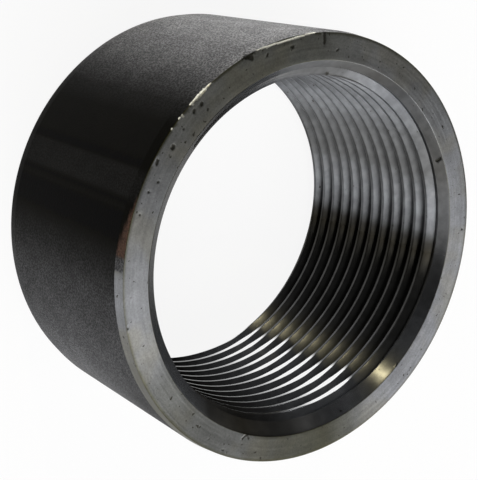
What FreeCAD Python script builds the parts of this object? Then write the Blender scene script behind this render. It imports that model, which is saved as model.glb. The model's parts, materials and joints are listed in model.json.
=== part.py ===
import FreeCAD
import Part

import math
import os

# Short steel half coupling for a tank wall: one turned ring with an inside pipe
# thread from end to end, a countersink at each mouth and a slim bevel round each rim.
# It stands on one end, with its axis along +Z and its origin in the middle of the
# lower end. Millimetres.

# Sizes of the ring
length = 29.3
thread_minor_diameter = 44.8
wall_thickness = 5.6
rim_bevel_depth = 0.2
rim_bevel_length = 1.6

# Sizes of the thread
threads_per_inch = 11.5
thread_depth = 1.15
crest_flat = 0.42
mouth_clearance = 0.89
countersink_half_angle = 45.0
groove_exit_angle = 6.4

inch = 25.4
full_turn = 360.0

# Worked out from the sizes above
crest_radius = thread_minor_diameter / 2
outer_radius = crest_radius + wall_thickness
pitch = inch / threads_per_inch
groove_half_width = (pitch - crest_flat) / 2
flank_slope = groove_half_width / thread_depth
root_radius = crest_radius + thread_depth
mouth_radius = root_radius + mouth_clearance

# The groove is cut past both ends of the ring in a longer tube, which is then turned
# down, so its own ends never show
groove_run_out = 1.5 * pitch
tube_run_out = 3 * pitch
turning_allowance = 1.0


def turned_ring(outline):
    """The solid that a closed outline of (radius, height) points makes round the axis."""
    corners = [FreeCAD.Vector(radius, 0, height) for radius, height in outline]
    section = Part.Face(Part.makePolygon(corners + corners[:1]))
    return section.revolve(FreeCAD.Vector(0, 0, 0), FreeCAD.Vector(0, 0, 1), full_turn)


def bored_tube():
    """Plain tube, bored to the thread's crests and longer than the ring."""
    bottom = -tube_run_out
    top = length + tube_run_out
    outside = outer_radius + turning_allowance
    return turned_ring([
        (crest_radius, bottom),
        (outside, bottom),
        (outside, top),
        (crest_radius, top),
    ])


def thread_groove():
    """Right-handed vee groove, wound past both ends of the ring."""
    height = length + 2 * groove_run_out
    helix = Part.makeHelix(pitch, height, crest_radius)

    # The open side reaches a little into the bore, by less than brings two turns together
    reach = crest_flat / 4 / flank_slope
    inner_radius = crest_radius - reach
    inner_half_width = groove_half_width + reach * flank_slope
    vee = Part.makePolygon([
        FreeCAD.Vector(inner_radius, 0, -inner_half_width),
        FreeCAD.Vector(root_radius, 0, 0),
        FreeCAD.Vector(inner_radius, 0, inner_half_width),
        FreeCAD.Vector(inner_radius, 0, -inner_half_width),
    ])
    groove = Part.Wire(helix.Edges).makePipeShell([vee], True, True)

    # Turned so that the groove's middle leaves the upper end at its exit angle
    turns_to_top = (length + groove_run_out) / pitch
    groove.translate(FreeCAD.Vector(0, 0, -groove_run_out))
    groove.rotate(
        FreeCAD.Vector(0, 0, 0),
        FreeCAD.Vector(0, 0, 1),
        groove_exit_angle - full_turn * turns_to_top,
    )
    return groove


def turned_envelope():
    """Outside, ends, rim bevels and countersinks, with the bore left too small."""
    inner_radius = crest_radius - turning_allowance
    countersink_slope = math.tan(math.radians(countersink_half_angle))
    countersink_depth = (mouth_radius - inner_radius) / countersink_slope
    rim_radius = outer_radius - rim_bevel_depth
    return turned_ring([
        (inner_radius, countersink_depth),
        (mouth_radius, 0),
        (rim_radius, 0),
        (outer_radius, rim_bevel_length),
        (outer_radius, length - rim_bevel_length),
        (rim_radius, length),
        (mouth_radius, length),
        (inner_radius, length - countersink_depth),
    ])


def coupling_body():
    """The whole coupling, threaded first and then turned to its outline."""
    threaded_tube = bored_tube().cut(thread_groove())
    return threaded_tube.common(turned_envelope()).Solids[0]


os.makedirs("parts", exist_ok=True)
coupling_body().exportStep("parts/coupling_body.step")
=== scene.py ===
import json
import math

import bmesh
import bpy
import numpy as np
from mathutils import Matrix, Vector, noise


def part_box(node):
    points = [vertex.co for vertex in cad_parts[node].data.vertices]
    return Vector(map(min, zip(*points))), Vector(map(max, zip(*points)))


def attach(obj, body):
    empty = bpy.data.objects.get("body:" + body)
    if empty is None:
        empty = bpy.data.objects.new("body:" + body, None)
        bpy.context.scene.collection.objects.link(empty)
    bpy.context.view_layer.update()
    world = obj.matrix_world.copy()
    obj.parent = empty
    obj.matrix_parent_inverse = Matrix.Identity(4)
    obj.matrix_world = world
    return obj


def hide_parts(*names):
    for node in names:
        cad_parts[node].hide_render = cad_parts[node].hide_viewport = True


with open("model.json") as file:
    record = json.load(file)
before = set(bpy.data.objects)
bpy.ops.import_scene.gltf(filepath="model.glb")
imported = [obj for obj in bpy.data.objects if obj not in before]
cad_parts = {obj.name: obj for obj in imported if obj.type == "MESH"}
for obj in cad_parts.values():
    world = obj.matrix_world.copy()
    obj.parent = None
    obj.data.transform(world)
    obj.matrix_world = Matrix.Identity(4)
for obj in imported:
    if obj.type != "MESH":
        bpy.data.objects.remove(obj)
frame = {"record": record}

MM = 0.001
INCH = 25.4 * MM
FULL_TURN = 2 * math.pi

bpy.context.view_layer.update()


# Sizes of the coupling, from the frame and then from the photograph

node_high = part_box("coupling_body")[1]
thread_mount = next(m for m in frame["record"]["mounts"] if m["name"] == "thread")

OUTER_RADIUS = node_high.x
LENGTH = node_high.z
CREST_RADIUS = thread_mount["dims"]["r_mm"] * MM
MOUTH_DEPTH = (LENGTH - thread_mount["dims"]["length_mm"] * MM) / 2
MOUTH_RADIUS = CREST_RADIUS + MOUTH_DEPTH

RIM_BEVEL_DEPTH = 0.2 * MM
RIM_BEVEL_LENGTH = 1.6 * MM
RIM_RADIUS = OUTER_RADIUS - RIM_BEVEL_DEPTH

THREADS_PER_INCH = 11.5
PITCH = INCH / THREADS_PER_INCH
CREST_FLAT = 0.42 * MM
FLANK_HALF_ANGLE = math.radians(30)
THREAD_DEPTH = 1.08 * MM
GROOVE_EXIT_ANGLE = math.radians(6.4)

CREST_EDGE_ROUND = 0.16 * MM
MOUTH_EDGE_ROUND = 0.10 * MM
RIM_EDGE_ROUND = 0.05 * MM
BEVEL_EDGE_ROUND = 0.3 * MM

# How finely the mesh is made
COLUMNS = 464
END_STEP = 0.45 * MM
OUTSIDE_STEP = 1.5 * MM
CREST_ARC_STEPS = 2
EDGE_ARC_STEPS = 3
WELD_DISTANCE = 0.0005 * MM
SLIVER_WIDTH = 0.0002 * MM
SHARP_ANGLE = math.radians(35)

# The part of each countersink that belongs to the outline and not to the bore's points
OUTLINE_MOUTH_SHARE = 0.4

# The finer patch of mesh round a mark, and how uneven and how strong the mark is
PATCH_MARGIN = 0.2 * MM
SEARCH_MARGIN = 1.5 * MM
PATCH_CUTS = 3
MARK_UNEVENNESS = 0.45
MARK_UNEVENNESS_SCALE = 4000
MARK_STRENGTH = 1.8

# The materials by number, and the radii at which one ends and the next begins
TURNED_STEEL, MILL_SKIN, CUT_THREAD = range(3)
BORE_STEEL_END = MOUTH_RADIUS - MOUTH_EDGE_ROUND
FACE_STEEL_END = RIM_RADIUS + RIM_EDGE_ROUND * 0.1

# The same for the tones, which change on the small rounds between the surfaces
BORE_TONE_END = MOUTH_RADIUS - MOUTH_EDGE_ROUND * 0.45
MOUTH_EDGE_END = MOUTH_RADIUS + MOUTH_EDGE_ROUND * 0.35
FACE_TONE_END = RIM_RADIUS - RIM_EDGE_ROUND * 0.6
RIM_EDGE_START = RIM_RADIUS - RIM_EDGE_ROUND * 0.95
RIM_EDGE_DEPTH = RIM_EDGE_ROUND * 0.8

# Marks on the upper end, each a stroke from one place to another. A place is a radius
# in mm, an angle in degrees and a depth below the end in mm. Then come the stroke's half
# width and how deep it goes, in mm.
DARK_MARKS = [
    ((26.5, 203.9, 0), (27.9, 203.9, 0), 0.26, 0.04),
    ((27.3, 227.4, 0), (27.8, 228.8, 0), 0.42, 0.04),
    ((27.8, 226.2, 0), (27.8, 230.0, 0), 0.22, 0.04),
    ((24.15, 139.4, 0.3), (23.8, 138.9, 0.65), 0.26, 0.12),
    ((24.4, 65.6, 0), (24.3, 66.0, 0), 0.14, 0.08),
    ((24.5, 1.0, 0), (25.1, 0.0, 0), 0.16, 0.04),
    ((24.5, 1.3, 0), (24.9, 2.4, 0), 0.16, 0.04),
    ((27.7, 133.6, 0), (27.7, 127.5, 0), 0.09, 0.03),
    ((26.4, 258.0, 0), (26.4, 258.5, 0), 0.32, 0.05),
    ((27.3, 263.0, 0), (27.2, 263.9, 0), 0.24, 0.04),
    ((26.0, 267.6, 0), (26.0, 267.6, 0), 0.20, 0.03),
    ((26.7, 270.7, 0), (26.7, 270.7, 0), 0.22, 0.04),
    ((26.9, 276.6, 0), (26.9, 276.6, 0), 0.16, 0.03),
    ((26.5, 253.0, 0), (26.5, 253.0, 0), 0.18, 0.03),
    ((26.8, 248.2, 0), (26.9, 247.8, 0), 0.24, 0.04),
    ((26.7, 245.5, 0), (26.8, 245.1, 0), 0.26, 0.04),
    ((25.6, 245.0, 0), (25.7, 244.8, 0), 0.16, 0.02),
    ((26.6, 214.9, 0), (26.6, 214.2, 0), 0.20, 0.04),
    ((26.8, 222.4, 0), (26.6, 222.8, 0), 0.17, 0.03),
    ((25.7, 198.9, 0), (25.7, 198.9, 0), 0.18, 0.03),
    ((22.7, 198.4, 1.75), (22.5, 198.0, 1.95), 0.24, 0.05),
    ((27.6, 304.9, 0), (27.6, 304.9, 0), 0.20, 0.04),
    ((27.0, 113.9, 0), (27.0, 113.9, 0), 0.20, 0.04),
    ((25.9, 343.7, 0), (25.9, 343.7, 0), 0.15, 0.03),
    ((26.6, 348.8, 0), (26.6, 348.8, 0), 0.13, 0.03),
    ((27.2, 354.7, 0), (27.2, 355.3, 0), 0.15, 0.03),
]

# Places where the rim's edge is rubbed, in the same form. Each is cut as a shallow facet and
# made smoother, and its colour is brightened into a painted glint.
BRIGHT_MARKS = [
    ((27.82, 247.6, 0), (27.84, 240.6, 0), 0.19, 0.04),
    ((27.76, 245.6, 0), (27.78, 242.6, 0), 0.30, 0.05),
    ((27.80, 255.0, 0), (27.80, 255.0, 0), 0.17, 0.04),
    ((27.80, 251.9, 0), (27.80, 251.9, 0), 0.20, 0.04),
    ((27.80, 250.9, 0), (27.80, 250.9, 0), 0.12, 0.03),
    ((27.86, 225.2, 0), (27.86, 207.0, 0), 0.12, 0.03),
]

# How light each surface is round the ring: pairs of an angle in degrees and a tone. At 0 a
# surface has its dark colour and at 1 its light one, and a tone past them goes further the
# same way. The tones were tuned by comparing renders with the photograph.
# Painted light and shade on the faced end: lighter and darker sectors that copy the fan of
# reflections on its turned rings
FACE_TONES = [
    (0, 0.50), (15, 0.26), (32, 0.14), (42, 0.36), (50, 0.87), (60, 1.0),
    (105, 1.0), (135, 0.92), (155, 0.72), (185, 0.60), (205, 0.33), (225, 0.35),
    (255, 0.49), (272, 0.70), (300, 0.82), (315, 0.77), (325, 0.47), (345, 0.46),
]
# Painted light and shade on the rim's bevel: lighter where it reflects light, darker where it
# lies in shade
BEVEL_TONES = [
    (15, 0.4), (100, 0.6), (200, 1.1), (210, 1.8), (225, 1.4), (233, 1.0), (241, 0.45),
    (248, 0.08), (254, 0.0), (266, 0.0), (268, 0.03), (273, 0.03), (275, 0.0), (286, 0.0),
    (288, 0.35), (290.5, 0.35), (292, 0.85), (300, 0.96), (315, 0.5), (330, 0.14),
    (345, 0.08), (358, 0.1),
]
# Painted light and shade on the outside: a dark band with darker lines on one side and a lighter
# sector on another
SKIN_TONES = [
    (100, 0.55), (185, 0.7), (198, 1.5), (210, 1.85), (218, 1.6), (225, 1.2), (233, 0.85),
    (241, 0.35), (248, 0.06), (254, 0.0), (263.5, 0.0), (265, -0.015), (266, -0.015),
    (267, 0.028), (273, 0.034), (274.5, -0.015), (276, 0.005), (277.5, -0.015), (283, -0.015),
    (286, 0.01), (292, 0.08), (300, 0.23), (315, 0.36), (330, 0.53), (345, 0.5),
]
# Painted light and shade in the bore: a dark side with a sharp edge to the lit side, and flanks
# lifted to a painted sheen
THREAD_TONES = [
    (2, 0.2), (15, 0.6), (30, 1.8), (45, 3.0), (56, 1.3), (75, 0.5), (90, 0.4), (105, 0.03),
    (109, 0.2), (113, 1.3), (120, 1.75), (135, 0.65), (150, 0.85), (165, 2.1), (180, 1.75),
    (195, 0.7), (320, 0.5), (345, 0.2),
]
# Painted light and shade on the countersinks: tones above one are painted highlights
CONE_TONES = [
    (0, 0.0), (15, 0.3), (30, 0.5), (45, 2.2), (60, 1.3), (75, 2.0), (90, 0.9),
    (105, 0.7), (120, 0.9), (135, 0.35), (150, 0.5), (165, 0.9), (180, 0.35), (195, 0.55),
    (225, 1.4), (255, 0.1), (285, 0.05), (300, 1.1), (315, 2.4), (330, 2.6), (345, 0.2),
]

# The bore is matt on one side: pairs of an angle and how matt
BORE_MATT = [(103, 0.0), (112, 1.0), (205, 1.0), (225, 0.0)]

# How much of its tone the mouth's edge keeps round the ring, and how much the rim's edge.
# Both are painted shade that dims the highlights on these rounded edges, except where the
# mouth's edge keeps its light line.
MOUTH_EDGE_TONES = [(135, 0.25), (150, 1.1), (190, 1.1), (210, 0.25)]
RIM_EDGE_TONE = 0.3

# Painted shade: the skin darkens from one height to the other on one side: pairs of an angle
# and by how much of its tone
SKIN_SHADES = [(315, 0.0), (331, 0.6), (344, 0.6), (356, 0.0)]
SHADE_FROM = 13 * MM
SHADE_TO = 25 * MM

# The rim's bevel is bare between these angles and keeps its scale elsewhere. The other
# two angles bound a patch of rust on it, which gets so much wider with each degree.
BARE_BEVEL = (290.6, 440)
RUSTY_BEVEL = (272, 287.4)
RUST_WIDENING = 0.12 * MM
RUST_FADE = 0.3 * MM

# The crests are burnished on one side, where their near-white colour is a painted reflection:
# pairs of an angle in degrees and how strongly, and how much wider each side of a crest is
# there, in mm. The burnish and its painted reflection reach this far down the crest's rounded
# edges.
CREST_BURNISH_AND_REFLECTION = [
    (350, 0.0), (364, 0.1), (380, 0.16), (389, 0.45), (396, 1.0), (411, 1.0), (414, 0.0),
]
CREST_WIDENING = [
    (24, 0.0), (31, 0.03), (36, 0.1), (41, 0.18), (45, 0.2), (48, 0.13), (53, 0.0),
]
BURNISH_AND_REFLECTION_REACH = 0.02 * MM

# Colours of the steel
FACE_DARK = (0.035, 0.033, 0.008, 1)
FACE_LIGHT = (0.256, 0.262, 0.278, 1)
FACE_SPECKS = (0.04, 0.037, 0.03, 1)
STAIN_TINT = (1.0, 0.97, 0.88, 1)
SKIN_DARK = (0.003, 0.0027, 0.0014, 1)
SKIN_LIGHT = (0.135, 0.136, 0.144, 1)
SKIN_LIGHTEST = (0.365, 0.367, 0.385, 1)
RUST_DARK = (0.055, 0.036, 0.028, 1)
RUST_LIGHT = (0.12, 0.068, 0.05, 1)
BORE_DARK = (0.018, 0.0158, 0.011, 1)
BORE_LIGHT = (0.098, 0.1, 0.103, 1)
BORE_SPECKS = (0.02, 0.018, 0.015, 1)
# Near white: a painted reflection along the burnished crests
BURNISHED_REFLECTION_COLOUR = (0.98, 0.98, 0.98, 1)
# A pale warm colour that paints a glint on the rubbed edge
RUBBED_GLINT_COLOUR = (1.0, 0.98, 0.84, 1)
# The colour towards which the dark marks' pits, nicks and scratches are darkened, and how far
MARK_DARK_COLOUR = (0.018, 0.017, 0.012, 1)
MARK_DARK_COVER = 0.88

# How high the turned rings and the skin's grain stand, and how far outside the
# countersink's own surface the colour of the countersink fades out
TURNING_HEIGHT = 0.004 * MM
SKIN_GRAIN_HEIGHT = 0.03 * MM
CONE_NEAR = 0.01 * MM
CONE_FAR = 0.03 * MM


# The studio. A lamp is its name, azimuth and elevation in degrees, distance and width in
# metres, brightness and colour.

FLOOR_RADIUS = 2.4
FLOOR_TURN_UP = 0.8
FLOOR_STEPS = 12
FLOOR_SIDES = 96
FLOOR_COLOUR = (0.85, 0.85, 0.85, 1)
FLOOR_WHITENESS = 0.9
WORLD_BRIGHTNESS = 0.12
WHITE = (1, 1, 1)
WARM = (1.0, 0.87, 0.52)
LAMPS = [
    ("high_window", 6, 58, 1.0, 0.85, 4.0, WHITE),
    ("low_window", 60, 19, 1.0, 0.65, 3.2, WHITE),
    ("fill", 170, 4, 0.8, 0.16, 20.0, WHITE),
    ("far_window", 90, 33, 1.0, 0.3, 3.0, WHITE),
    ("gap_window", 37, 40, 1.0, 0.45, 0.9, WHITE),
    ("bulb", 215, 42, 0.8, 0.025, 280.0, WARM),
]


# The camera, at the photograph's viewing angle

CAMERA_PLACE = Vector((1.722, -98.471, 136.458)) * MM
CAMERA_TILT = math.radians(38.869)
CAMERA_ROLL = math.radians(111.045)
FOCAL_LENGTH_PIXELS = 1145.79
PHOTO_LONG_SIDE = 480
SENSOR_WIDTH = 36.0
CLIP_START = 0.005


def add_camera():
    data = bpy.data.cameras.new("camera")
    data.sensor_width = SENSOR_WIDTH
    data.lens = FOCAL_LENGTH_PIXELS * SENSOR_WIDTH / PHOTO_LONG_SIDE
    data.clip_start = CLIP_START
    camera = bpy.data.objects.new("camera", data)
    bpy.context.scene.collection.objects.link(camera)
    turn = Matrix.Rotation(CAMERA_TILT, 4, "X") @ Matrix.Rotation(CAMERA_ROLL, 4, "Z")
    camera.matrix_world = Matrix.Translation(CAMERA_PLACE) @ turn
    bpy.context.scene.camera = camera


# The coupling's mesh: one section through the wall for each angle, joined into a ring

def rounded(corners, radii, steps):
    """The open line through the corners, with an arc of so many steps at each inner one."""
    line = [np.array(corners[0], float)]
    for before, corner, after, radius in zip(corners, corners[1:], corners[2:], radii):
        before, corner, after = (np.array(p, float) for p in (before, corner, after))
        if radius == 0:
            line.append(corner)
            continue
        back = (before - corner) / np.linalg.norm(before - corner)
        ahead = (after - corner) / np.linalg.norm(after - corner)
        half_angle = math.acos(back @ ahead) / 2
        middle_way = (back + ahead) / np.linalg.norm(back + ahead)
        centre = corner + middle_way * radius / math.sin(half_angle)
        first = corner + back * radius / math.tan(half_angle) - centre
        last = corner + ahead * radius / math.tan(half_angle) - centre
        sweep = math.pi - 2 * half_angle
        for share in np.linspace(0, 1, steps + 1):
            arm = math.sin((1 - share) * sweep) * first + math.sin(share * sweep) * last
            line.append(centre + arm / math.sin(sweep))
    line.append(np.array(corners[-1], float))
    return np.array(line)


def divided(line, longest):
    """The same line with its long straight stretches cut into even parts."""
    points = [line[0]]
    for start, end, most in zip(line, line[1:], longest(line)):
        parts = max(1, math.ceil(np.linalg.norm(end - start) / most))
        for part in range(1, parts + 1):
            points.append(start + (end - start) * part / parts)
    return np.array(points)


def looked_up(pairs, angle):
    """The value at an angle in degrees, from pairs of an angle and a value round the ring."""
    return np.interp(angle, *zip(*pairs), period=360)


def along_ridge(angle, ridge, pairs):
    """The same for the crests, by up to 2.5 degrees sooner or later on each turn."""
    ragged = 1.5 * np.sin(ridge * 2.1) + 1.0 * np.sin(ridge * 5.3 + 1.0)
    return looked_up(pairs, np.degrees(angle) + ragged)


def crest_widening(angle, ridge):
    """How much wider each side of a crest is, uneven by a fifth either way."""
    uneven = 1 + 0.2 * np.sin(angle * 24 + ridge * 7.0)
    return along_ridge(angle, ridge, CREST_WIDENING) * uneven * MM


def thread_half_profile():
    """Distance from the groove's middle against radius, out to the crest's middle."""
    root_radius = CREST_RADIUS + THREAD_DEPTH
    crest_start = (PITCH - CREST_FLAT) / 2
    root_half = crest_start - THREAD_DEPTH * math.tan(FLANK_HALF_ANGLE)
    corners = [
        (0, root_radius),
        (root_half, root_radius),
        (crest_start, CREST_RADIUS),
        (PITCH / 2, CREST_RADIUS),
    ]
    return rounded(corners, [0, CREST_EDGE_ROUND], CREST_ARC_STEPS)


def turns_wound(angle):
    """How many turns the groove has wound past the place where it leaves the upper end."""
    return (angle - GROOVE_EXIT_ANGLE) / FULL_TURN


def thread_radius(profile, angles, depths):
    """The thread's radius at these depths, which have one row for each angle."""
    offset = depths + PITCH * turns_wound(angles)[:, None]
    folded = np.abs((offset + PITCH / 2) % PITCH - PITCH / 2)
    widening = crest_widening(angles[:, None], np.floor(offset / PITCH))
    return np.interp(folded + widening, profile[:, 0], profile[:, 1])


def ridge_depths(profile, angles):
    """Depths of the profile's corners, by angle, turn of the thread and corner."""
    knots = profile[:, 0]
    ridge = np.concatenate([knots[1:-1], PITCH - knots[-2:0:-1]])
    side = np.where(ridge < PITCH / 2, -1, 1)
    turns = np.arange(math.ceil(LENGTH / PITCH) + 4) - 2
    widening = crest_widening(angles[:, None], turns[None, :])[:, :, None]
    unwound = turns[None, :, None] * PITCH + ridge + side * widening
    return unwound - PITCH * turns_wound(angles)[:, None, None]


def emerging(depths, radii):
    """Depths moved to where the thread next comes out of the countersink above it, and the
    depths at which it goes into that countersink again."""
    clear = radii - (MOUTH_RADIUS - depths)
    moved = depths.copy()
    sunk = np.full_like(depths, np.nan)
    for k in range(depths.shape[1] - 2, -1, -1):
        change = clear[:, k] - clear[:, k + 1]
        share = clear[:, k] / np.where(change == 0, 1, change)
        crossing = depths[:, k] + share * (depths[:, k + 1] - depths[:, k])
        hidden = clear[:, k] < 0
        next_hidden = clear[:, k + 1] < 0
        emerges = np.where(next_hidden, moved[:, k + 1], crossing)
        moved[:, k] = np.where(hidden, emerges, depths[:, k])
        sunk[:, k] = np.where(~hidden & next_hidden, crossing, np.nan)
    return moved, sunk


def bore_points(angles):
    """Depths and radii down the bore for each angle, and the number of points in a turn."""
    profile = thread_half_profile()
    nominal = ridge_depths(profile, angles)
    shape = nominal.shape
    nominal = nominal.reshape(len(angles), -1)
    radii = thread_radius(profile, angles, nominal)
    upper, upper_sunk = emerging(nominal, radii)
    lower, lower_sunk = emerging(LENGTH - nominal[:, ::-1], radii[:, ::-1])
    in_upper_half = nominal < LENGTH / 2
    moved = np.where(in_upper_half, upper, LENGTH - lower[:, ::-1]).reshape(shape)
    sunk = np.where(in_upper_half, upper_sunk, LENGTH - lower_sunk[:, ::-1])

    # Each turn has one more point, for where its crest dives into a countersink
    sunk = np.where(np.isnan(sunk), -1, sunk).reshape(shape).max(axis=2)
    extra = np.where(sunk < 0, moved[:, :, 0], sunk)
    depths = np.sort(np.concatenate([moved, extra[:, :, None]], axis=2), axis=2)
    depths = depths.reshape(len(angles), -1)
    nearest_end = np.minimum(depths, LENGTH - depths)
    radii = np.maximum(thread_radius(profile, angles, depths), MOUTH_RADIUS - nearest_end)
    return depths, radii, shape[2] + 1


def outline_points():
    """The rest of the section: from the lower countersink round the outside to the upper."""
    edge = MOUTH_DEPTH * OUTLINE_MOUTH_SHARE
    corners = [
        (MOUTH_RADIUS - edge, edge),
        (MOUTH_RADIUS, 0),
        (RIM_RADIUS, 0),
        (OUTER_RADIUS, RIM_BEVEL_LENGTH),
        (OUTER_RADIUS, LENGTH - RIM_BEVEL_LENGTH),
        (RIM_RADIUS, LENGTH),
        (MOUTH_RADIUS, LENGTH),
        (MOUTH_RADIUS - edge, LENGTH - edge),
    ]
    radii = [
        MOUTH_EDGE_ROUND,
        RIM_EDGE_ROUND,
        BEVEL_EDGE_ROUND,
        BEVEL_EDGE_ROUND,
        RIM_EDGE_ROUND,
        MOUTH_EDGE_ROUND,
    ]

    def longest(line):
        at_upper_end = line[1:, 1] > LENGTH - RIM_BEVEL_LENGTH * 1.01
        return np.where(at_upper_end, END_STEP, OUTSIDE_STEP)

    return divided(rounded(corners, radii, EDGE_ARC_STEPS), longest)


def wound_faces(section_size, bore_size, turn_size):
    """The faces between each section and the next, with the bore's points first in each."""
    index = np.arange(COLUMNS * section_size).reshape(COLUMNS, section_size)
    following = np.roll(index, -1, axis=0)

    # After one turn the thread is a pitch further on, so there the bore's points step back
    stepped = np.arange(section_size)
    stepped[:bore_size] = np.maximum(stepped[:bore_size] - turn_size, 0)
    following[-1] = index[0][stepped]
    corners = [index, following, np.roll(following, -1, axis=1), np.roll(index, -1, axis=1)]
    return np.stack(corners, axis=2).reshape(-1, 4)


def ring_mesh():
    """The plain ring. Each section runs down the bore, then out and up the outside."""
    angles = np.linspace(0, FULL_TURN, COLUMNS, endpoint=False)
    depths, bore, turn_size = bore_points(angles)
    outline = np.broadcast_to(outline_points()[None], (COLUMNS, len(outline_points()), 2))
    radius = np.hstack([bore, outline[:, :, 0]])
    height = np.hstack([LENGTH - depths, outline[:, :, 1]])
    x = radius * np.cos(angles)[:, None]
    y = radius * np.sin(angles)[:, None]
    points = np.stack([x, y, height], axis=2).reshape(-1, 3)
    faces = wound_faces(radius.shape[1], bore.shape[1], turn_size)

    mesh = bpy.data.meshes.new("coupling")
    mesh.from_pydata(points.tolist(), [], faces.tolist())
    return mesh


def on_ring(place):
    """The point at a place of the mark lists."""
    radius, angle, depth = place
    angle = math.radians(angle)
    across = Vector((radius * math.cos(angle), radius * math.sin(angle), 0)) * MM
    return across + Vector((0, 0, LENGTH - depth * MM))


def from_stroke(point, start, end):
    """How far the point is from the stroke's middle line."""
    along = end - start
    if along.length == 0:
        return (point - start).length
    share = min(1, max(0, (point - start).dot(along) / along.length_squared))
    return (point - start - along * share).length


def refine_patch(tidy, start, end, reach, near):
    """Finer mesh within reach of the stroke, looked for round the near vertices."""
    linked = {face for vert in near for face in vert.link_faces}
    patch = [f for f in linked if from_stroke(f.calc_center_median(), start, end) < reach]
    edges = list({edge for face in patch for edge in face.edges})
    bmesh.ops.subdivide_edges(tidy, edges=edges, cuts=PATCH_CUTS, use_grid_fill=True)
    tidy.normal_update()


def cut_mark(tidy, layer, start, end, half_width, depth):
    """One mark: a shallow hollow along the stroke, with an uneven edge."""
    middle = (start + end) / 2
    reach = half_width + PATCH_MARGIN
    bound = (end - start).length / 2 + reach + SEARCH_MARGIN

    def near():
        return [vert for vert in tidy.verts if (vert.co - middle).length <= bound]

    refine_patch(tidy, start, end, reach, near())
    moves = []
    for vert in near():
        uneven = 1 + MARK_UNEVENNESS * noise.noise(vert.co * MARK_UNEVENNESS_SCALE)
        share = from_stroke(vert.co, start, end) * uneven / half_width
        if share < 1:
            moves.append((vert, vert.normal * -depth, 1 - share * share))
    for vert, move, fall in moves:
        vert.co += move * fall
        vert.co.z = min(vert.co.z, LENGTH)
        vert[layer] = max(vert[layer], min(1, MARK_STRENGTH * fall))


def cut_marks(tidy, marks, name):
    """All the marks of a list, whose strength is kept as an attribute of this name."""
    layer = tidy.verts.layers.float.new(name)
    for start, end, half_width, depth in marks:
        cut_mark(tidy, layer, on_ring(start), on_ring(end), half_width * MM, depth * MM)


def in_sector(angle, sector):
    return (angle - sector[0]) % 360 < sector[1] - sector[0]


def surface_of(middle):
    """The material of a face with this middle."""
    radius = middle.xy.length
    angle = math.degrees(math.atan2(middle.y, middle.x)) % 360
    on_upper_bevel = middle.z > LENGTH - RIM_BEVEL_LENGTH
    if radius < BORE_STEEL_END:
        return CUT_THREAD
    if radius < FACE_STEEL_END or (on_upper_bevel and in_sector(angle, BARE_BEVEL)):
        return TURNED_STEEL
    return MILL_SKIN


def surface_tones(angle, radius, z):
    """How light each point is, in tones that are partly painted light and shade, and whether it
    is on the upper rim's bevel.
    """
    in_bore = radius < BORE_TONE_END
    on_face = ~in_bore & (radius < FACE_TONE_END)
    on_mouth_edge = ~in_bore & (radius < MOUTH_EDGE_END)
    on_bevel = ~in_bore & ~on_face & (z > LENGTH - RIM_BEVEL_LENGTH)
    end_depth = np.minimum(z, LENGTH - z)
    on_rim_edge = (end_depth < RIM_EDGE_DEPTH) & (radius > RIM_EDGE_START)

    # Painted shade on the skin towards the upper end, on one side
    up_the_side = np.clip((z - SHADE_FROM) / (SHADE_TO - SHADE_FROM), 0, 1)
    tone = looked_up(SKIN_TONES, angle) * (1 - looked_up(SKIN_SHADES, angle) * up_the_side)
    tone[on_bevel] = looked_up(BEVEL_TONES, angle[on_bevel])
    tone[on_face] = looked_up(FACE_TONES, angle[on_face])
    tone[in_bore] = looked_up(THREAD_TONES, angle[in_bore])
    # Painted shade on the rounded edges, dimming their highlights
    tone[on_mouth_edge] *= looked_up(MOUTH_EDGE_TONES, angle[on_mouth_edge])
    tone[on_rim_edge] *= RIM_EDGE_TONE
    return tone, on_bevel


def bevel_rust(angle, z, on_bevel):
    """How rusty each point is."""
    width = RUST_WIDENING * (angle - RUSTY_BEVEL[0])
    rust = np.clip((width - (LENGTH - z)) / RUST_FADE, 0, 1)
    rust[~on_bevel | (angle > RUSTY_BEVEL[1])] = 0
    return rust


def paint(mesh):
    """What the materials read at each point: tones, which are partly painted light and shade,
    rust, the crests' burnish with its painted reflection, and how matt it is.
    """
    points = np.empty(len(mesh.vertices) * 3)
    mesh.vertices.foreach_get("co", points)
    x, y, z = points.reshape(-1, 3).T
    radius = np.hypot(x, y)
    angle = np.degrees(np.arctan2(y, x)) % 360
    ridge = np.floor((LENGTH - z) / PITCH + turns_wound(np.radians(angle)))
    tone, on_bevel = surface_tones(angle, radius, z)
    painted = {
        "tone": tone,
        "cone_tone": looked_up(CONE_TONES, angle),
        "burnish_and_reflection": along_ridge(np.radians(angle), ridge, CREST_BURNISH_AND_REFLECTION),
        "rust": bevel_rust(angle, z, on_bevel),
        "matt": looked_up(BORE_MATT, angle),
    }
    for name, values in painted.items():
        mesh.attributes.new(name, "FLOAT", "POINT").data.foreach_set("value", values)


def coupling_mesh():
    mesh = ring_mesh()
    tidy = bmesh.new()
    tidy.from_mesh(mesh)
    bmesh.ops.remove_doubles(tidy, verts=tidy.verts, dist=WELD_DISTANCE)
    bmesh.ops.dissolve_degenerate(tidy, dist=SLIVER_WIDTH, edges=tidy.edges)
    bmesh.ops.recalc_face_normals(tidy, faces=tidy.faces)
    tidy.normal_update()
    for face in tidy.faces:
        face.material_index = surface_of(face.calc_center_median())
    cut_marks(tidy, DARK_MARKS, "mark_darkening")
    cut_marks(tidy, BRIGHT_MARKS, "rub_and_glint")
    tidy.to_mesh(mesh)
    tidy.free()
    paint(mesh)
    return mesh


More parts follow.
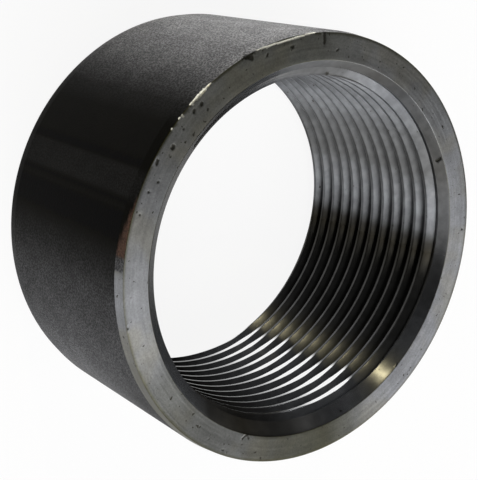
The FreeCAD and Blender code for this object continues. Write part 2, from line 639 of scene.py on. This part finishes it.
def add_coupling():
    mesh = coupling_mesh()
    mesh.shade_smooth()
    mesh.set_sharp_from_angle(angle=SHARP_ANGLE)

    # In the order of TURNED_STEEL, MILL_SKIN and CUT_THREAD
    for material in (turned_steel(), mill_skin(), cut_thread()):
        mesh.materials.append(material)
    piece = bpy.data.objects.new("coupling", mesh)
    bpy.context.scene.collection.objects.link(piece)
    weighted = piece.modifiers.new("normals", "WEIGHTED_NORMAL")
    weighted.keep_sharp = True
    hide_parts("coupling_body")
    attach(piece, "root")


# Materials

class Shading:
    """A material's nodes, made and linked by short calls."""

    def __init__(self, name):
        self.material = bpy.data.materials.new(name)
        self.material.use_nodes = True
        self.tree = self.material.node_tree
        self.surface = self.tree.nodes["Principled BSDF"]
        self.output = self.tree.nodes["Material Output"]
        self.place = self.node("ShaderNodeTexCoord").outputs["Object"]

    def node(self, kind, inputs=(), **settings):
        made = self.tree.nodes.new(kind)
        for name, value in settings.items():
            setattr(made, name, value)
        for socket, value in dict(inputs).items():
            self.put(value, made.inputs[socket])
        return made

    def put(self, value, socket):
        if isinstance(value, bpy.types.NodeSocket):
            self.tree.links.new(value, socket)
        else:
            socket.default_value = value

    def math(self, operation, *values):
        return self.node("ShaderNodeMath", enumerate(values), operation=operation).outputs[0]

    def vector(self, x, y, z):
        return self.node("ShaderNodeCombineXYZ", {0: x, 1: y, 2: z}).outputs[0]

    def scaled(self, vector, factor):
        inputs = {0: vector, "Scale": factor}
        return self.node("ShaderNodeVectorMath", inputs, operation="SCALE").outputs[0]

    def attribute(self, name):
        return self.node("ShaderNodeAttribute", attribute_name=name).outputs["Fac"]

    def noise(self, place, scale=1.0, detail=2.0):
        inputs = {"Vector": place, "Scale": scale, "Detail": detail}
        return self.node("ShaderNodeTexNoise", inputs).outputs["Fac"]

    def spread(self, value, span, new_span=(0.0, 1.0)):
        """The value, eased from one span of numbers to another and kept inside it."""
        inputs = {"Value": value}
        inputs["From Min"], inputs["From Max"] = span
        inputs["To Min"], inputs["To Max"] = new_span
        made = self.node("ShaderNodeMapRange", inputs, interpolation_type="SMOOTHSTEP")
        return made.outputs[0]

    def mix(self, share, first, second):
        inputs = {0: share, 6: first, 7: second}
        return self.node("ShaderNodeMix", inputs, data_type="RGBA", clamp_factor=False).outputs[2]

    def mix_numbers(self, share, first, second):
        inputs = {0: share, 2: first, 3: second}
        return self.node("ShaderNodeMix", inputs, data_type="FLOAT").outputs[0]

    def mix_vectors(self, share, first, second):
        inputs = {0: share, 4: first, 5: second}
        return self.node("ShaderNodeMix", inputs, data_type="VECTOR").outputs[1]

    def toned(self, colour, *factors):
        """The colour, made darker or lighter by each factor in turn."""
        for factor in factors:
            colour = self.scaled(colour, factor)
        return colour

    def tinted(self, share, colour, tint):
        """The colour, multiplied by the tint as far as the share goes."""
        inputs = {0: share, 6: colour, 7: tint}
        made = self.node("ShaderNodeMix", inputs, data_type="RGBA", blend_type="MULTIPLY")
        return made.outputs[2]

    def bump(self, height, distance):
        return self.node("ShaderNodeBump", {"Height": height, "Distance": distance}).outputs[0]

    def outward(self):
        """The unit direction away from the axis, the distance from it, and the height."""
        inputs = {0: self.place, 1: (1, 1, 0)}
        flat = self.node("ShaderNodeVectorMath", inputs, operation="MULTIPLY").outputs[0]
        direction = self.node("ShaderNodeVectorMath", {0: flat}, operation="NORMALIZE")
        radius = self.node("ShaderNodeVectorMath", {0: flat}, operation="LENGTH")
        height = self.node("ShaderNodeSeparateXYZ", {0: self.place}).outputs[2]
        return direction.outputs[0], radius.outputs["Value"], height

    def turning(self, around, across):
        """A place whose noise runs in rings: long round the axis, short across."""
        direction, radius, height = self.outward()
        split = self.node("ShaderNodeSeparateXYZ", {0: direction}).outputs
        x = self.math("MULTIPLY", split[0], around)
        y = self.math("MULTIPLY", split[1], around)
        z = self.math("MULTIPLY", self.math("ADD", radius, height), across)
        return self.vector(x, y, z)

    def finish(self, **inputs):
        for name, value in inputs.items():
            self.put(value, self.surface.inputs[name.replace("_", " ")])
        return self.material


def grooved(shading, anisotropy):
    """Grooves left by turning, which stretch a highlight across them."""
    tangent = shading.node("ShaderNodeTangent", direction_type="RADIAL", axis="Z").outputs[0]
    return {"Anisotropic": anisotropy, "Anisotropic_Rotation": 0.25, "Tangent": tangent}


def marked(shading, colour):
    """The colour, with rubbed places brightened into a painted glint and pits dark."""
    colour = shading.mix(shading.attribute("rub_and_glint"), colour, RUBBED_GLINT_COLOUR)
    mark_darkening = shading.math("MULTIPLY", shading.attribute("mark_darkening"), MARK_DARK_COVER)
    return shading.mix(mark_darkening, colour, MARK_DARK_COLOUR)


def turned_steel():
    """The faced ends and bare bevels: satin steel with fine rings, specks and a mottle."""
    shading = Shading("turned_steel")
    rings = shading.noise(shading.turning(around=3.0, across=6000.0), detail=3.0)
    feed = shading.noise(shading.turning(around=2.0, across=2600.0), detail=1.0)
    mottle = shading.noise(shading.place, scale=500.0, detail=5.0)
    stain = shading.noise(shading.place, scale=160.0, detail=3.0)
    grain = shading.noise(shading.place, scale=5000.0)
    specks = shading.spread(shading.noise(shading.place, scale=1500.0), (0.67, 0.71))
    # The tone paints lighter and darker sectors: painted light and shade of the turned steel's
    # reflections
    colour = shading.mix(shading.attribute("tone"), FACE_DARK, FACE_LIGHT)
    colour = shading.toned(
        colour,
        shading.spread(mottle, (0.35, 0.65), (0.92, 1.08)),
        shading.spread(grain, (0.3, 0.7), (0.88, 1.1)),
        shading.spread(feed, (0.3, 0.7), (0.92, 1.07)),
    )
    colour = shading.tinted(shading.spread(stain, (0.45, 0.65)), colour, STAIN_TINT)
    colour = shading.mix(specks, colour, FACE_SPECKS)
    roughness = shading.spread(rings, (0.3, 0.7), (0.34, 0.44))
    polish = shading.math("MULTIPLY", shading.attribute("rub_and_glint"), 0.05)
    return shading.finish(
        Base_Color=marked(shading, colour),
        Metallic=1.0,
        Roughness=shading.math("SUBTRACT", roughness, polish),
        Normal=shading.bump(rings, TURNING_HEIGHT),
        **grooved(shading, 0.7),
    )


def mill_skin():
    """The outside: dull blue-grey scale with a fine bright grain and one patch of rust."""
    shading = Shading("mill_skin")
    grain = shading.noise(shading.place, scale=4400.0, detail=4.0)
    patches = shading.noise(shading.place, scale=350.0, detail=4.0)
    light = shading.mix(shading.spread(grain, (0.40, 0.64)), SKIN_LIGHT, SKIN_LIGHTEST)
    # The tone paints the outside's light and shade: a dark band with darker lines, a lighter
    # sector and painted shade near one end
    colour = shading.mix(shading.attribute("tone"), SKIN_DARK, light)
    colour = shading.toned(colour, shading.spread(patches, (0.3, 0.7), (0.88, 1.12)))
    rust = shading.mix(shading.spread(grain, (0.3, 0.7)), RUST_DARK, RUST_LIGHT)
    colour = shading.mix(shading.attribute("rust"), colour, rust)
    return shading.finish(
        Base_Color=marked(shading, colour),
        Metallic=shading.attribute("rub_and_glint"),
        Roughness=shading.spread(shading.attribute("rub_and_glint"), (0.0, 1.0), (0.55, 0.25)),
        Specular_IOR_Level=0.02,
        Normal=shading.bump(grain, SKIN_GRAIN_HEIGHT),
    )


def cut_thread():
    """The countersinks and the thread: darker steel with painted light and shade, matt on one
    side of the bore and with burnished crests on another, whose near-white colour is a painted
    reflection."""
    shading = Shading("cut_thread")
    outward, radius, height = shading.outward()
    rings = shading.noise(shading.turning(around=6.0, across=4000.0), detail=3.0)
    mottle = shading.noise(shading.place, scale=900.0, detail=4.0)
    specks = shading.spread(
        shading.noise(shading.place, scale=1500.0, detail=3.0),
        (0.70, 0.76),
    )

    # On a countersink the radius and the depth add up to the mouth's radius
    end_depth = shading.math("MINIMUM", height, shading.math("SUBTRACT", LENGTH, height))
    reach = shading.math("ADD", radius, end_depth)
    cone = shading.spread(reach, (MOUTH_RADIUS + CONE_NEAR, MOUTH_RADIUS + CONE_FAR), (1.0, 0.0))
    # The tones paint the bore's light and shade: a dark side with a sharp edge to the lit side,
    # and painted highlights on the countersinks
    tone = shading.mix_numbers(cone, shading.attribute("tone"), shading.attribute("cone_tone"))
    colour = shading.mix(tone, BORE_DARK, BORE_LIGHT)
    colour = shading.toned(colour, shading.spread(mottle, (0.3, 0.7), (0.85, 1.15)))
    colour = shading.mix(specks, colour, BORE_SPECKS)

    # A burnished crest mirrors as smoothly as one plain cylinder, and its near-white colour
    # paints a reflection along the crests
    depth = shading.math("SUBTRACT", radius, CREST_RADIUS)
    crest = shading.spread(depth, (BURNISH_AND_REFLECTION_REACH, BURNISH_AND_REFLECTION_REACH * 1.5), (1.0, 0.0))
    burnish_and_reflection = shading.math("MULTIPLY", shading.attribute("burnish_and_reflection"), crest)
    inward = shading.scaled(outward, -1.0)
    roughness = shading.spread(shading.attribute("matt"), (0.0, 1.0), (0.24, 0.4))
    return shading.finish(
        Base_Color=marked(shading, shading.mix(burnish_and_reflection, colour, BURNISHED_REFLECTION_COLOUR)),
        Metallic=1.0,
        Roughness=shading.mix_numbers(burnish_and_reflection, roughness, 0.1),
        Normal=shading.mix_vectors(burnish_and_reflection, shading.bump(rings, TURNING_HEIGHT), inward),
        **grooved(shading, 0.8),
    )


# The studio: a pale floor that turns up far away, a dim world and six soft lamps

def white_to_the_eye(shading, share, plain):
    """The plain surface, with white for what the camera, gloss and glass see of it."""
    path = shading.node("ShaderNodeLightPath").outputs
    seen = shading.math("MAXIMUM", path["Is Camera Ray"], path["Is Glossy Ray"])
    seen = shading.math("MAXIMUM", seen, path["Is Transmission Ray"])
    seen = shading.math("MULTIPLY", seen, share)
    white = shading.node("ShaderNodeEmission", {"Strength": 1.0}).outputs[0]
    mixed = shading.node("ShaderNodeMixShader", {0: seen, 1: plain, 2: white}).outputs[0]
    shading.put(mixed, shading.output.inputs["Surface"])


def floor_mesh():
    """A round floor with its border turned up in a quarter circle."""
    rings = [(FLOOR_RADIUS, 0.0)]
    for step in range(1, FLOOR_STEPS + 1):
        angle = math.pi / 2 * step / FLOOR_STEPS
        out = FLOOR_TURN_UP * math.sin(angle)
        rings.append((FLOOR_RADIUS + out, FLOOR_TURN_UP * (1 - math.cos(angle))))
    points = []
    for radius, height in rings:
        for side in range(FLOOR_SIDES):
            angle = FULL_TURN * side / FLOOR_SIDES
            points.append((radius * math.cos(angle), radius * math.sin(angle), height))
    faces = [tuple(range(FLOOR_SIDES))]
    for ring in range(FLOOR_STEPS):
        for side in range(FLOOR_SIDES):
            a = ring * FLOOR_SIDES + side
            b = ring * FLOOR_SIDES + (side + 1) % FLOOR_SIDES
            faces.append((b, a, a + FLOOR_SIDES, b + FLOOR_SIDES))
    mesh = bpy.data.meshes.new("floor")
    mesh.from_pydata(points, [], faces)
    mesh.shade_smooth()
    return mesh


def add_floor():
    floor = bpy.data.objects.new("floor", floor_mesh())
    bpy.context.scene.collection.objects.link(floor)
    shading = Shading("floor")
    shading.finish(Base_Color=FLOOR_COLOUR, Roughness=0.9, Specular_IOR_Level=0.0)
    white_to_the_eye(shading, FLOOR_WHITENESS, shading.surface.outputs[0])
    floor.data.materials.append(shading.material)


def add_lamp(name, azimuth, elevation, distance, size, brightness, colour):
    """A square soft lamp that faces the coupling. Its power grows with its area."""
    data = bpy.data.lights.new(name, "AREA")
    data.shape = "SQUARE"
    data.size = size
    data.energy = brightness * math.pi * size * size
    data.color = colour
    lamp = bpy.data.objects.new(name, data)
    lamp.visible_camera = False
    bpy.context.scene.collection.objects.link(lamp)
    azimuth, elevation = math.radians(azimuth), math.radians(elevation)
    away = Vector((
        math.cos(elevation) * math.cos(azimuth),
        math.cos(elevation) * math.sin(azimuth),
        math.sin(elevation),
    ))
    lamp.location = away * distance + Vector((0, 0, LENGTH / 2))
    lamp.rotation_euler = away.to_track_quat("Z", "Y").to_euler()


def add_world():
    world = bpy.data.worlds.new("world")
    world.use_nodes = True
    background = world.node_tree.nodes["Background"]
    background.inputs["Color"].default_value = (1, 1, 1, 1)
    background.inputs["Strength"].default_value = WORLD_BRIGHTNESS
    bpy.context.scene.world = world


add_camera()
add_coupling()
add_floor()
add_world()
for lamp in LAMPS:
    add_lamp(*lamp)

bpy.context.scene.view_settings.view_transform = "Standard"
